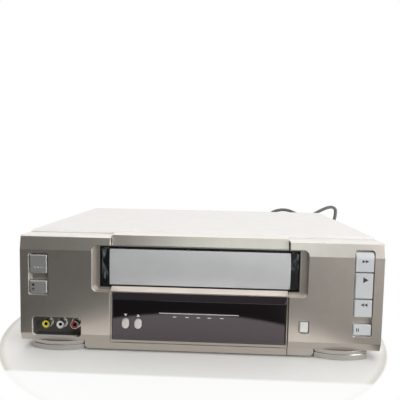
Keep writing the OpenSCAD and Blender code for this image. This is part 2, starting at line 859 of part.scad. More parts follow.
// A reel table turns on a fixed post
module reel_table(s) {
    color("dimgray") at_front() translate([s * reel_pitch / 2, reel_y, deck_top + 0.4]) difference() {
        union() {
            cylinder(r = reel_r, h = 3.4, $fn = 96);
            cylinder(r = 19, h = 5);
            cylinder(r = 6, h = 17);
            for (a = [0:120:240]) rotate(a) translate([4, -1, 4]) cube([4.2, 2, 11]);
        }
        translate([0, 0, -cut]) cylinder(r = 2 + running, h = 17 + 2 * cut);
    }
}

module supply_reel() {
    reel_table(-1);
}

module takeup_reel() {
    reel_table(1);
}

module idler_arm() {
    color("silver") at_front() difference() {
        union() {
            translate([0, 0, deck_top + 0.3]) linear_extrude(1.4)
                slot_2d([0, idler_pivot_y], [0, idler_pivot_y + idler_len], 4.5);
            rod_z(1.5, deck_top + 0.3, deck_top + 6.6, 0, idler_pivot_y + idler_len);
            rod_z(4.5, deck_top + 0.3, deck_top + 4.6, 0, idler_pivot_y);
        }
        rod_z(2 + running, deck_top - cut, deck_top + 8, 0, idler_pivot_y);
    }
}

module idler_wheel() {
    color("black") at_front() translate([0, idler_pivot_y + idler_len, deck_top + 2]) difference() {
        union() {
            cylinder(r = idler_r - 1, h = 3.6, $fn = 96);
            translate([0, 0, 0.6]) cylinder(r = idler_r, h = 2.4, $fn = 96);
        }
        translate([0, 0, -cut]) cylinder(r = 1.5 + running, h = 6);
    }
}

module capstan() {
    color("silver") at_front() {
        rod_z(capstan_r, 19, deck_top + 28, capstan_at[0], capstan_at[1]);
        translate([capstan_at[0], capstan_at[1], 23.4]) cylinder(r = rotor_r, h = 7.4, $fn = 96);
    }
}

// Open cage under the deck that carries the shaft in a bearing at each end
module capstan_motor() {
    color("slategray") at_front() translate([capstan_at[0], capstan_at[1], 0]) difference() {
        union() {
            translate([0, 0, 18]) cylinder(r = cage_r, h = 3.2, $fn = 96);
            translate([0, 0, deck_z - 1.5]) difference() {
                cylinder(r = cage_r, h = 1.5, $fn = 96);
                translate([-cage_r - cut, -cage_r, -cut]) cube([cage_r + cut - 12.5, 2 * cage_r, 4]);
            }
            translate([0, 0, deck_z - 4]) cylinder(r = 5, h = deck_t + 4.6);
            for (a = [75, 255, 320]) rotate(a) translate([rotor_r + 3.2, 0, 18]) cylinder(r = 2, h = deck_z - 19);
        }
        translate([0, 0, 18.8]) cylinder(r = capstan_r + running, h = 40);
    }
}

module pinch_arm() {
    z = deck_top + 1;
    color("silver") at_front() difference() {
        union() {
            translate([0, 0, z]) linear_extrude(2) slot_2d(pinch_pivot, pinch_at, 5);
            rod_z(4.4, z, z + 8, pinch_pivot[0], pinch_pivot[1]);
            rod_z(1.5, z, z + 25, pinch_at[0], pinch_at[1]);
        }
        rod_z(2.5 + running, z - cut, z + 10, pinch_pivot[0], pinch_pivot[1]);
    }
}

module pinch_roller() {
    z = deck_top + 5;
    color([0.15, 0.15, 0.15]) at_front() difference() {
        rod_z(pinch_r, z, z + 20, pinch_at[0], pinch_at[1]);
        rod_z(1.5 + running, z - cut, z + 21, pinch_at[0], pinch_at[1]);
    }
}

// Roller post that draws the tape round the drum, held in a slot of the deck
module guide_post() {
    neck_top = deck_top + 0.3;
    translate([guide_from[0], guide_from[1], 0]) {
        translate([0, 0, deck_z - 2]) cylinder(r = 5.6, h = 1.7);
        translate([0, 0, deck_z - 2]) cylinder(r = guide_neck_r, h = 6);
        translate([0, 0, neck_top]) cylinder(r = 5.6, h = 3);
        translate([0, 0, neck_top]) cylinder(r = 1.6, h = 26);
        translate([0, 0, neck_top + 5]) cylinder(r = 3.2, h = 18);
        translate([0, 0, neck_top + 24]) cylinder(r = 4, h = 2);
    }
}

module supply_guide() {
    color("silver") at_front() mirror([1, 0, 0]) guide_post();
}

module takeup_guide() {
    color("silver") at_front() guide_post();
}

// A block on the deck, measured from a place on it
module block_on(at, x, y, z) {
    span([at[0] + x[0], at[0] + x[1]], [at[1] + y[0], at[1] + y[1]], [deck_top + z[0], deck_top + z[1]]);
}

// Erase head on the supply side, sound and control head on the take-up side
module tape_heads() {
    color("silver") at_front() {
        for (at = [erase_head_at, sound_head_at]) rod_z(2, deck_top, deck_top + head_h, at[0], at[1]);
        block_on(erase_head_at, [-4, 8], [-5, 5], [6, head_h]);
        block_on(sound_head_at, [-6, 4], [-4, 4], [6, head_h]);
        block_on(sound_head_at, [-7, 7], [-6, 6], [0, 2]);
    }
}

module loading_motor() {
    x = cam_at[0];
    y = cam_at[1] + cam_r + worm_r + 0.5;
    color("gray") at_front() {
        rod_x(9, x + 16, x + 40, y, deck_top + 9.5);
        span([x + 16, x + 40], [y - 8, y + 8], [deck_top, deck_top + 6]);
        rod_x(3, x + 15, x + 17, y, deck_top + 9.5);
    }
}

module loading_worm() {
    x = cam_at[0];
    y = cam_at[1] + cam_r + worm_r + 0.5;
    z = deck_top + 9.5;
    color("white") at_front() {
        rod_x(worm_r - 1.2, x - 12, x + 15, y, z);
        for (i = [0:5]) rod_x(worm_r, x - 9 + 3.2 * i, x - 7.6 + 3.2 * i, y, z);
    }
}

// Worm wheel whose cam draws the guides
module loading_cam() {
    step = 360 / cam_teeth;
    root = cam_r - 1.6;
    ring = [for (i = [0:cam_teeth - 1]) for (p = [[0, root], [0.3, cam_r], [0.6, cam_r], [0.9, root]])
        [p[1] * cos((i + p[0]) * step), p[1] * sin((i + p[0]) * step)]];
    color("white") at_front() translate([cam_at[0], cam_at[1], deck_top + 0.4]) difference() {
        union() {
            cylinder(r = 14, h = 6.5);
            translate([0, 0, 6]) linear_extrude(5) polygon(ring);
        }
        translate([0, 0, -cut]) cylinder(r = 2.5 + running, h = 20);
    }
}

// Cassette carriage: two fixed side plates, a slider that runs in, and a basket that drops
module carriage_frame() {
    color("lightsteelblue") at_front() {
        difference() {
            mirrored_x() span([plate_x, plate_x + plate_t], [deck_y[0], carriage_end], [deck_top, rail_z + 5]);
            mirrored_x() rotate([90, 0, 90]) translate([0, 0, plate_x - cut]) linear_extrude(plate_t + 2 * cut)
                slot_2d([44, rail_z], [70 + travel_in, rail_z], peg_r + slot_play);
            mirrored_x() span([plate_x - cut, plate_x + plate_t + cut], [60, 140], [48, 78]);
        }
        span([-plate_x - plate_t, plate_x + plate_t], [carriage_end - 11, carriage_end], [rail_z + 4.8, rail_z + 6]);
    }
}

module carriage_slider() {
    color("gold") at_front() {
        difference() {
            mirrored_x() span([slider_x, slider_x + slider_t], slider_ys,
                [peg_z - travel_down - slot_foot, rail_z + 4]);
            mirrored_x() rotate([90, 0, 90]) translate([0, 0, slider_x - cut]) linear_extrude(slider_t + 2 * cut)
                for (y = peg_ys) slot_2d([y, peg_z - travel_down], [y, peg_z], peg_r + slot_play);
        }
        mirrored_x() for (y = [44, 70])
            rod_x(peg_r, slider_x + slider_t - 0.2, plate_x + plate_t + 1, y, rail_z);
        rod_x(2.5, -slider_x - 0.3, slider_x + 0.3, 74, rail_z + 3.5);
    }
}

module cassette_basket() {
    top = basket_z + cassette_h + 0.2;
    color("lightgray") at_front() {
        mirrored_x() {
            span([basket_x, basket_x + basket_t], [back_rear + 1.4, 87], [basket_z - 2, top + 1.2]);
            span([86, basket_x + 0.2], [30, 87], [basket_z - 1.2, basket_z]);
            for (y = peg_ys) rod_x(peg_r, basket_x + basket_t - 0.2, plate_x - 0.25, y, peg_z);
        }
        span([-basket_x - 0.2, basket_x + 0.2], [52, 87], [top, top + 1.2]);
        span([-basket_x - 0.2, basket_x + 0.2], [85.8, 87], [top - 3, top + 0.2]);
    }
}

// Power cord. Points of its free stretch, chosen by hand, from the strain relief to the coil
cord_r = cord_d / 2;
exit_y = rear_y + cord_exit_y;
coil_r = coil_in_r + coil_pitch * coil_turns;
coil_y = coil_at[1] + coil_r;
cord_route = [
    [cord_x, exit_y, cord_z], [cord_x, exit_y + 6, cord_z], [93, 156, 87], [95, 159, 95], [98, 160, 104],
    [106, 160, 112], [119, 160, 116], [132, 160, 115], [144, 160, 110], [156, 160, 106], [166, 160, 107],
    [175, 160, 112], [184, 160, 117], [193, 160, 121], [201, 160, 122], [206, 160, 118], [206, 160, 108],
    [204, 161, 96], [204, 163, 80], [205, 165, 62], [206, 167, 44], [206, 170, 27], [203, 175, 13],
    [196, 183, 5], [185, 192, cord_r], [170, 201, cord_r], [152, 209, cord_r], [132, 216, cord_r],
    [112, coil_y, cord_r], [96, coil_y, cord_r], [84, coil_y, cord_r], [coil_at[0] + coil_lead, coil_y, cord_r]];

// Smooth curve through the points, two rings a span, never under the table
function catmull(a, b, c, d, t) = 0.5 * (2 * b + (c - a) * t + (2 * a - 5 * b + 4 * c - d) * t * t
    + (3 * b - a - 3 * c + d) * t * t * t);
function at(list, i) = list[max(0, min(len(list) - 1, i))];
function lifted(p) = [p[0], p[1], max(p[2], cord_r)];
function smooth(list, steps) = [for (i = [1:len(list) - 2]) for (k = [0:steps - 1])
    lifted(catmull(at(list, i - 1), at(list, i), at(list, i + 1), at(list, i + 2), k / steps))];

function unit(v) = v / norm(v);
function side_of(dir) = unit(cross(dir, abs(dir[2]) > 0.9 ? [0, 1, 0] : [0, 0, 1]));

// Frame carried along the path, so that the tube doesn't twist
function carry(path, i, side) = i >= len(path) ? [] :
    let (dir = unit(at(path, i + 1) - at(path, i - 1)),
        flat = unit(side - (side * dir) * dir))
    concat([[dir, flat]], carry(path, i + 1, flat));

module tube(path, r, sides) {
    frames = carry(path, 0, side_of(path[1] - path[0]));
    points = [for (i = [0:len(path) - 1]) for (k = [0:sides - 1])
        let (u = frames[i][1], v = cross(frames[i][0], u), a = 360 * k / sides)
        path[i] + r * (cos(a) * u + sin(a) * v)];
    n = len(path);
    skin = [for (i = [0:n - 2]) for (k = [0:sides - 1])
        let (a = i * sides + k, b = i * sides + (k + 1) % sides)
        for (f = [[a, b, b + sides], [a, b + sides, a + sides]]) f];
    first = [for (k = [1:sides - 2]) [0, k + 1, k]];
    last = [for (k = [1:sides - 2]) [(n - 1) * sides, (n - 1) * sides + k, (n - 1) * sides + k + 1]];
    polyhedron(points, concat(skin, first, last));
}

// Coil: in on the table, up a layer where it reverses, and out again on top
coil_total = 2 * coil_turns;
function coil_radius(t) = coil_in_r + coil_pitch * abs(t - coil_turns);
function coil_z(t) = cord_r + coil_pitch * max(0, min(1, (t - coil_turns) * 2 + 0.5));
function coil_point(t) = [coil_at[0] + coil_radius(t) * cos(90 + 360 * t),
    coil_at[1] + coil_radius(t) * sin(90 + 360 * t), coil_z(t)];
coil_loops = [for (k = [0:360 * coil_total / ring_step]) coil_point(k * ring_step / 360)];
coil_path = concat([[coil_at[0] + coil_lead, coil_y, cord_r]], coil_loops,
    [[coil_at[0] - coil_tail, coil_y, cord_r + coil_pitch]]);

// Least gap of the coil to itself, and the length of the whole cord
coil_gap = min([for (i = [0:len(coil_loops) - 9]) for (j = [i + 8:len(coil_loops) - 1])
    norm(coil_loops[i] - coil_loops[j])]) - cord_d;
function length_of(list, i = 1) = i >= len(list) ? 0 : norm(list[i] - list[i - 1]) + length_of(list, i + 1);
echo(coil_gap = coil_gap, free_length = length_of(cord_route), coil_length = length_of(coil_path));

module strain_relief() {
    color("dimgray") at_front() {
        rod_y(relief_r, inner_rear - 5, body_d + 2.2, cord_x, cord_z);
        rod_y(relief_r + 2, body_d, body_d + 2.2, cord_x, cord_z);
        translate([cord_x, body_d + 2, cord_z]) rotate([-90, 0, 0])
            cylinder(r1 = 5, r2 = 3.5, h = cord_exit_y - 2);
    }
}

module power_cord() {
    last = cord_route[len(cord_route) - 1];
    color("gray") tube(concat([cord_route[0]], smooth(cord_route, 2), [last]), cord_r, 8);
}

module cord_coil() {
    color("gray") tube(coil_path, cord_r, 6);
}

module power_plug() {
    x = coil_at[0] - coil_tail;
    z = cord_r + coil_pitch;
    color("dimgray") {
        rod_x(3.8, x - 12, x, coil_y, z);
        span([x - 11 - plug_len, x - 11], [coil_y - plug_w / 2, coil_y + plug_w / 2], [0, 2 * z]);
    }
    color("gold") for (s = [-1, 1]) translate([0, s * 6.35, 0])
        span([x - 27.5 - plug_len, x - 10.5 - plug_len], [coil_y - 0.75, coil_y + 0.75], [z - 3.2, z + 3.2]);
}

front_panel();
top_trim();
window_frame();
cassette_door();
door_end_caps();
door_pins();
display_window();
display_tube();
display_board();
channel_down_button();
channel_up_button();
power_button();
stop_eject_button();
fast_forward_button();
play_button();
rewind_button();
pause_button();
record_button();
key_boards();
front_video_jack();
front_left_audio_jack();
front_right_audio_jack();
jack_bay();
top_cover();
bottom_chassis();
rear_panel();
cover_screws();
front_feet();
rear_feet();
rear_jack_block();
rear_video_jacks();
rear_left_audio_jacks();
rear_right_audio_jacks();
rf_modulator();
main_board();
power_board();
deck_plate();
lower_drum();
upper_drum();
supply_reel();
takeup_reel();
idler_arm();
idler_wheel();
capstan();
capstan_motor();
pinch_arm();
pinch_roller();
supply_guide();
takeup_guide();
tape_heads();
loading_motor();
loading_worm();
loading_cam();
carriage_frame();
carriage_slider();
cassette_basket();
strain_relief();
power_cord();
cord_coil();
power_plug();
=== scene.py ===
from math import cos, pi, radians, sin

import bpy
from mathutils import Matrix, Vector

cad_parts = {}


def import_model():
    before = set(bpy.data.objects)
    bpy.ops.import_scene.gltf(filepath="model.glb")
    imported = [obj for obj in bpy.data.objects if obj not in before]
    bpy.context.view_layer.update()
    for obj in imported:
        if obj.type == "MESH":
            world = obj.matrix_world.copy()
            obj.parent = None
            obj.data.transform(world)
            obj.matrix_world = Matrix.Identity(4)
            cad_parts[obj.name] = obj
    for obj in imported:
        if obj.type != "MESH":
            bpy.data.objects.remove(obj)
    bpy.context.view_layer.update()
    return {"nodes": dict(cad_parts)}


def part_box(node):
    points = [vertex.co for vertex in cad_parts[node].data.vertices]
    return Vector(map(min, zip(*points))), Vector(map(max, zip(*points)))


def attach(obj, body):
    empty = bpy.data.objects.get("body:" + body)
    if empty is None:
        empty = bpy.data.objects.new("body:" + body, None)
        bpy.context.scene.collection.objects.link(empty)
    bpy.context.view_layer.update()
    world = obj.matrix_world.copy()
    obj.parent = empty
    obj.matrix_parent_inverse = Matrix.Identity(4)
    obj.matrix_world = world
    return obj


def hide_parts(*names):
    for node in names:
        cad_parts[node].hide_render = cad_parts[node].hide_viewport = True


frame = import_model()

MM = 0.001
FRONT_Y = -0.131  # front face of the panel


def front(x, y, z):
    """A point given in millimetres from the panel's front face, as the part's source has it."""
    return Vector((x * MM, y * MM + FRONT_Y, z * MM))


# Camera, at the photograph's viewing angle
CAM_AT = front(15.76, -405.81, 182.21)
CAM_YAW, CAM_PITCH, CAM_ROLL = radians(-2.285), radians(4.363), radians(1.067)
CAM_FOCAL_PX = 430.08
FRAME_PX = 400
SENSOR = 36

cam_data = bpy.data.cameras.new("camera")
cam_data.sensor_width = SENSOR
cam_data.lens = CAM_FOCAL_PX / FRAME_PX * SENSOR
cam_data.clip_start = 0.01
cam_data.clip_end = 50
camera = bpy.data.objects.new("camera", cam_data)
bpy.context.scene.collection.objects.link(camera)
look = Vector((sin(CAM_YAW) * cos(CAM_PITCH), cos(CAM_YAW) * cos(CAM_PITCH), -sin(CAM_PITCH)))
level = Vector((cos(CAM_YAW), -sin(CAM_YAW), 0))
upright = level.cross(look)
cam_x = level * cos(CAM_ROLL) + upright * sin(CAM_ROLL)
cam_y = upright * cos(CAM_ROLL) - level * sin(CAM_ROLL)
camera.matrix_world = Matrix.Translation(CAM_AT) @ Matrix((cam_x, cam_y, -look)).transposed().to_4x4()
bpy.context.scene.camera = camera

bpy.context.scene.view_settings.view_transform = "Standard"
bpy.context.scene.view_settings.look = "None"


# Small helpers for node trees. Each takes the tree first and gives back a socket
LOW, HIGH = "LESS_THAN", "GREATER_THAN"


def new_material(name):
    mat = bpy.data.materials.new(name)
    mat.use_nodes = True
    return mat, mat.node_tree, mat.node_tree.nodes["Principled BSDF"]


def link(tree, a, b):
    tree.links.new(a, b)


def node(tree, kind, **values):
    made = tree.nodes.new(kind)
    for key, value in values.items():
        setattr(made, key, value)
    return made


def math(tree, operation, a, b):
    """One operation on two values, each a socket or a number."""
    made = node(tree, "ShaderNodeMath", operation=operation)
    for slot, value in zip(made.inputs, (a, b)):
        if isinstance(value, (int, float)):
            slot.default_value = value
        else:
            link(tree, value, slot)
    return made.outputs[0]


def product(tree, values):
    """1 where all the masks are 1."""
    total = values[0]
    for value in values[1:]:
        total = math(tree, "MULTIPLY", total, value)
    return total


def largest(tree, values):
    """1 where any of the masks is 1."""
    most = values[0]
    for value in values[1:]:
        most = math(tree, "MAXIMUM", most, value)
    return most


def split(tree, vector):
    made = node(tree, "ShaderNodeSeparateXYZ")
    link(tree, vector, made.inputs[0])
    return made.outputs


def within(tree, place, limits):
    """1 where the place keeps all the limits, each an axis, LOW or HIGH, and a value."""
    return product(tree, [math(tree, kind, place[axis], at) for axis, kind, at in limits])


def mirror_ray(tree, rays):
    """1 for a ray that comes off or through a surface, given the light path's outputs."""
    return largest(tree, [rays["Is Glossy Ray"], rays["Is Transmission Ray"]])


def spanned(tree, value, near, far, low, high):
    """From low at near to high at far, and level beyond."""
    made = node(tree, "ShaderNodeMapRange")
    for key, number in (("From Min", near), ("From Max", far), ("To Min", low), ("To Max", high)):
        made.inputs[key].default_value = number
    link(tree, value, made.inputs["Value"])
    return made.outputs["Result"]


def mixed(tree, fac, a, b):
    """Colour a where fac is 0 and b where it is 1, each a socket or three numbers."""
    made = node(tree, "ShaderNodeMix", data_type="RGBA")
    link(tree, fac, made.inputs["Factor"])
    for key, value in (("A", a), ("B", b)):
        if isinstance(value, tuple):
            made.inputs[key].default_value = (*value, 1)
        else:
            link(tree, value, made.inputs[key])
    return made.outputs["Result"]


def object_place(tree):
    """Place on the object in metres. Every CAD node's object sits at the origin."""
    return node(tree, "ShaderNodeTexCoord").outputs["Object"]


def coords(tree, scale=(1, 1, 1)):
    """The same in millimetres, stretched where asked for."""
    mapping = node(tree, "ShaderNodeMapping")
    mapping.inputs["Scale"].default_value = tuple(s / MM for s in scale)
    link(tree, object_place(tree), mapping.inputs["Vector"])
    return mapping.outputs["Vector"]


def away_from(tree, vector, point):
    made = node(tree, "ShaderNodeVectorMath", operation="DISTANCE")
    made.inputs[1].default_value = point
    link(tree, vector, made.inputs[0])
    return made.outputs["Value"]


def noise(tree, vector, scale, detail=3.0):
    tex = node(tree, "ShaderNodeTexNoise")
    tex.inputs["Scale"].default_value = scale
    tex.inputs["Detail"].default_value = detail
    tex.inputs["Roughness"].default_value = 0.55
    link(tree, vector, tex.inputs["Vector"])
    return tex.outputs["Fac"]


def ramp(tree, fac, low, high, a=0.35, b=0.65):
    made = node(tree, "ShaderNodeValToRGB")
    for stop, at, colour in zip(made.color_ramp.elements, (a, b), (low, high)):
        stop.position = at
        stop.color = (*colour, 1)
    link(tree, fac, made.inputs["Fac"])
    return made.outputs["Color"]


# Materials
CLOUD = 0.05  # scale of the slow unevenness of a colour, per mm
RUB = 0.3  # scale of the unevenness of a gloss, per mm


def shade(name, colour, metallic=0.0, rough=0.45, coat=0.0, coat_rough=0.1, vary=0.06, grain=0.6,
          bump=0.02, edge=0.0, spec=0.5, rough_vary=0.0):
    """A finish with a little uneven colour, fine grain and, where asked for, softened edges."""
    mat, tree, bsdf = new_material(name)
    vector = coords(tree)
    low = [c * (1 - vary) for c in colour]
    high = [min(1, c * (1 + vary)) for c in colour]
    link(tree, ramp(tree, noise(tree, vector, CLOUD), low, high), bsdf.inputs["Base Color"])
    for key, value in (("Metallic", metallic), ("Specular IOR Level", spec), ("Coat Weight", coat),
                       ("Coat Roughness", coat_rough), ("Roughness", rough)):
        bsdf.inputs[key].default_value = value
    if rough_vary:
        gloss = spanned(tree, noise(tree, vector, RUB), 0, 1, rough - rough_vary, rough + rough_vary)
        link(tree, gloss, bsdf.inputs["Roughness"])
    normal = None
    if edge:
        soft = node(tree, "ShaderNodeBevel")
        soft.samples = 6
        soft.inputs["Radius"].default_value = edge * MM
        normal = soft.outputs["Normal"]
    if bump:
        lift = node(tree, "ShaderNodeBump")
        lift.inputs["Strength"].default_value = 0.5
        lift.inputs["Distance"].default_value = bump * MM
        link(tree, noise(tree, vector, grain, 2.0), lift.inputs["Height"])
        if normal:
            link(tree, normal, lift.inputs["Normal"])
        normal = lift.outputs["Normal"]
    if normal:
        link(tree, normal, bsdf.inputs["Normal"])
    return mat


def painted(mat):
    """The tree, the shader and the colour of a finish that gets more paint on top."""
    bsdf = mat.node_tree.nodes["Principled BSDF"]
    return mat.node_tree, bsdf, bsdf.inputs["Base Color"].links[0].from_socket


# Sockets: (x, z) of their middles and their radii, in millimetres
FRONT_JACKS = {"video": (-151.4, 24.2), "left": (-137.0, 24.2), "right": (-122.6, 24.2)}
REAR_JACK_XS = (-148, -128)
REAR_JACK_TOP_Z = 64
JACK_PITCH = 14.4
FACE_R, HOLE_R = 3.52, 1.75
# The dark colour in the middle of each socket is painted shade in its hole
BARREL, HOLE_SHADE = (0.6, 0.59, 0.57), (0.02, 0.018, 0.015)
RING_YELLOW, RING_WHITE, RING_RED = (0.8, 0.72, 0.04), (0.75, 0.74, 0.7), (0.3, 0.035, 0.035)


def near_axis(tree, places, radius):
    """1 inside any of the circles given by (x, z) in millimetres, seen along y."""
    flat = node(tree, "ShaderNodeVectorMath", operation="MULTIPLY")
    flat.inputs[1].default_value = (1, 0, 1)
    link(tree, coords(tree), flat.inputs[0])
    return largest(tree, [math(tree, LOW, away_from(tree, flat.outputs["Vector"], (x, 0, z)), radius)
                          for x, z in places])


def socket_shade(name, colour, places):
    """Plated barrel with a coloured face, and painted shade in the contact hole in the middle."""
    mat, tree, bsdf = new_material(name)
    face = near_axis(tree, places, FACE_R)
    hole = near_axis(tree, places, HOLE_R)
    link(tree, mixed(tree, hole, mixed(tree, face, BARREL, colour), HOLE_SHADE), bsdf.inputs["Base Color"])
    link(tree, math(tree, "SUBTRACT", 1, face), bsdf.inputs["Metallic"])
    bsdf.inputs["Roughness"].default_value = 0.25
    return mat


# Front panel: its paint, with painted highlights where it looks paler and painted shade where it looks dark, apart
# from a dark seam
TAUPE = (0.72, 0.655, 0.59)
TAUPE_METAL = 0.85
# The pale colour is a painted highlight on faces that catch the light
PAINTED_HIGHLIGHT = (0.82, 0.79, 0.76)
# Near black painted in and round the door slot is painted shade; on the seam it is a dark joint
SLOT_DARK = (0.006, 0.006, 0.006)
SLOT_LOW, SLOT_HIGH = front(-97.7, 5.7, 63.2), front(97.2, 60, 103.7)
SEAM_X = 86.5 * MM
SEAM_HALF = 0.4 * MM
LIP_Y, WELL_Y = FRONT_Y + 2.4 * MM, FRONT_Y + 9.5 * MM
TOP_Z = 0.108  # above it the panel's top
SKIRT_Z = 0.0165  # below it the shaded underside
MIDDLE_X, KEYS_X, FLANK_X = 0.115, 0.17, 0.12  # reach from the middle to each side
UNDER_SHADE = 0.72


def panel_shade(name, edge):
    """Metallic paint, with painted highlights on faces that look up or sideways in the front, painted shade on the
    underside and in and round the slot, and a dark seam.
    """
    mat = shade(name, TAUPE, metallic=TAUPE_METAL, rough=0.3, coat=0.25, coat_rough=0.2, vary=0.03, grain=2.5,
                bump=0.01, edge=edge)
    tree, bsdf, paint = painted(mat)
    facing = split(tree, node(tree, "ShaderNodeNewGeometry").outputs["True Normal"])
    place = split(tree, object_place(tree))
    off_middle = math(tree, "ABSOLUTE", place["X"], 0)
    # Painted highlights: faces that look up on the top, look left near the middle, look right at the very front,
    # and look up in the front of the flanks get the pale colour and no metal
    top = product(tree, [within(tree, facing, [("Z", HIGH, 0.8)]), within(tree, place, [("Z", HIGH, TOP_Z)])])
    left = product(tree, [within(tree, facing, [("X", LOW, -0.15), ("X", HIGH, -0.9)]),
                          math(tree, LOW, off_middle, MIDDLE_X)])
    right = product(tree, [within(tree, facing, [("X", HIGH, 0.3)]), within(tree, place, [("Y", LOW, LIP_Y)]),
                           math(tree, LOW, off_middle, KEYS_X)])
    well_foot = product(tree, [within(tree, facing, [("Z", HIGH, 0.5)]), within(tree, place, [("Y", LOW, WELL_Y)]),
                               math(tree, HIGH, off_middle, FLANK_X)])
    pale = largest(tree, [top, left, right, well_foot])
    # Painted shade: near black on the slot's walls and on a band of the face round the slot
    slot = within(tree, place, [("X", HIGH, SLOT_LOW.x), ("X", LOW, SLOT_HIGH.x), ("Z", HIGH, SLOT_LOW.z),
                                ("Z", LOW, SLOT_HIGH.z), ("Y", HIGH, SLOT_LOW.y)])
    seam = product(tree, [within(tree, facing, [("Y", LOW, -0.8)]),
                          within(tree, place, [("X", HIGH, SEAM_X - SEAM_HALF), ("X", LOW, SEAM_X + SEAM_HALF)])])
    black = largest(tree, [slot, seam])
    under = within(tree, place, [("Z", LOW, SKIRT_Z)])
    colour = mixed(tree, pale, mixed(tree, under, paint, tuple(UNDER_SHADE * c for c in TAUPE)), PAINTED_HIGHLIGHT)
    link(tree, mixed(tree, black, colour, SLOT_DARK), bsdf.inputs["Base Color"])
    link(tree, spanned(tree, largest(tree, [pale, black]), 0, 1, TAUPE_METAL, 0), bsdf.inputs["Metallic"])
    return mat


taupe = panel_shade("taupe_paint", 0.5)
bay_dark = shade("bay_plastic", (0.14, 0.13, 0.12), metallic=0.4, rough=0.4, vary=0.05, edge=0.3)
flap_silver = shade("flap_silver", (0.88, 0.88, 0.89), metallic=0.4, rough=0.28, vary=0.02, grain=3.0,
                    bump=0.01, edge=0.5)
key_grey = shade("key_grey", (0.78, 0.77, 0.75), metallic=0.75, rough=0.38, vary=0.03, edge=0.7)
channel_silver = shade("channel_silver", (0.8, 0.75, 0.72), metallic=0.5, rough=0.3, vary=0.03, edge=2.2)
key_silver = shade("key_silver", (0.76, 0.77, 0.79), metallic=0.2, rough=0.36, vary=0.03, edge=0.7)
foot_silver = shade("foot_silver", (0.5, 0.48, 0.46), metallic=0.85, rough=0.2, vary=0.03, edge=0.4)

# The caps at the ends of the door: polished black, with faint grey streaks painted on as reflections
mirror_black = shade("mirror_black", (0.012, 0.013, 0.014), rough=0.06, coat=1.0, coat_rough=0.03,
                     vary=0.02, bump=0, edge=1.0)
cap_tree, cap_bsdf, _ = painted(mirror_black)
# Painted reflections: pale grey streaks on the black
reflection_streaks = noise(cap_tree, coords(cap_tree, (1, 1, 0.3)), 0.22, 1.0)
link(cap_tree, ramp(cap_tree, reflection_streaks, (0.008, 0.008, 0.009), (0.2, 0.23, 0.24), 0.52, 0.68),
     cap_bsdf.inputs["Base Color"])

# The display's window: smoked acrylic with a faint warm reflection
window_black = shade("window_black", (0.003, 0.002, 0.003), rough=0.05, vary=0.02, bump=0, edge=0.4, spec=1.0)
window_bsdf = painted(window_black)[1]
window_bsdf.inputs["IOR"].default_value = 1.62
window_bsdf.inputs["Specular Tint"].default_value = (1, 0.87, 0.94, 1)

cover_white = shade("cover_white", (0.84, 0.82, 0.8), rough=0.5, vary=0.015, grain=4.0, bump=0.02, edge=0.6)
rubber = shade("rubber", (0.02, 0.02, 0.02), rough=0.75, vary=0.2)
black_plastic = shade("black_plastic", (0.025, 0.025, 0.027), rough=0.5, vary=0.1, edge=0.3)
glass_dark = shade("display_glass", (0.02, 0.03, 0.03), rough=0.08, coat=0.6, vary=0.05, bump=0)
plated = shade("plated_sheet", (0.5, 0.51, 0.53), metallic=0.85, rough=0.38, vary=0.08, grain=0.8, bump=0.02,
               rough_vary=0.08)
rear_paint = shade("rear_paint", (0.36, 0.36, 0.36), metallic=0.6, rough=0.42, vary=0.06, grain=1.5, bump=0.02,
                   rough_vary=0.05)
steel = shade("polished_steel", (0.62, 0.62, 0.64), metallic=1.0, rough=0.22, vary=0.04, bump=0)
cast = shade("cast_aluminium", (0.6, 0.6, 0.61), metallic=0.9, rough=0.4, vary=0.06, grain=1.5, bump=0.03)
white_plastic = shade("white_plastic", (0.75, 0.74, 0.72), rough=0.35, vary=0.03, edge=0.3)
cord_grey = shade("cord_grey", (0.16, 0.155, 0.15), rough=0.5, vary=0.08, grain=0.5, bump=0.03)
printed = shade("print_white", (0.75, 0.75, 0.75), rough=0.5, vary=0.02, bump=0)
printed_dark = shade("print_dark", (0.05, 0.05, 0.055), rough=0.5, vary=0.02, bump=0)

# Boards: green laminate, black components, and patches of other finishes, from the boards' own corners
BOARD_GREEN, BOARD_BLACK = (0.03, 0.12, 0.05), (0.018, 0.018, 0.022)
BOARD_T = 1.6 * MM
SKIN = 0.1 * MM  # how far past the board's face a component starts
TUNER_DEPTH = 40 * MM
TRANSFORMER_DEPTH = 59 * MM
SINK_WIDTH, SINK_START = 27.5 * MM, 107 * MM
TUNER_TIN, TAPE_OCHRE, SINK_ALUMINIUM = (0.6, 0.61, 0.62), (0.6, 0.42, 0.08), (0.62, 0.62, 0.64)


def board_shade(name, raised, patches=()):
    """Green board. What is raised past its face is dark, with patches of other finishes."""
    mat = shade(name, BOARD_GREEN, rough=0.4, vary=0.25, grain=0.9, bump=0.05)
    tree, bsdf, colour = painted(mat)
    place = split(tree, object_place(tree))
    component = within(tree, place, [raised])
    colour = mixed(tree, component, colour, BOARD_BLACK)
    for tint, limits, is_metal in patches:
        patch = product(tree, [component, within(tree, place, limits)])
        colour = mixed(tree, patch, colour, tint)
        if is_metal:
            link(tree, patch, bsdf.inputs["Metallic"])
    link(tree, colour, bsdf.inputs["Base Color"])
    return mat


def over(name):
    """Above the face of a board that lies flat."""
    return "Z", HIGH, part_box(name)[0][2] + BOARD_T + SKIN


def before(name):
    """In front of the face of a board that stands upright."""
    return "Y", LOW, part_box(name)[1][1] - BOARD_T - SKIN


main_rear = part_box("main_board")[1][1]
power_front, power_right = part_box("power_board")[0][1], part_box("power_board")[1][0]
main_finish = board_shade("main_board_finish", over("main_board"), [
    (TUNER_TIN, [("Y", HIGH, main_rear - TUNER_DEPTH)], True)])
power_finish = board_shade("power_board_finish", over("power_board"), [
    (TAPE_OCHRE, [("Y", LOW, power_front + TRANSFORMER_DEPTH)], False),
    (SINK_ALUMINIUM, [("X", HIGH, power_right - SINK_WIDTH), ("Y", HIGH, power_front + SINK_START)], True)])

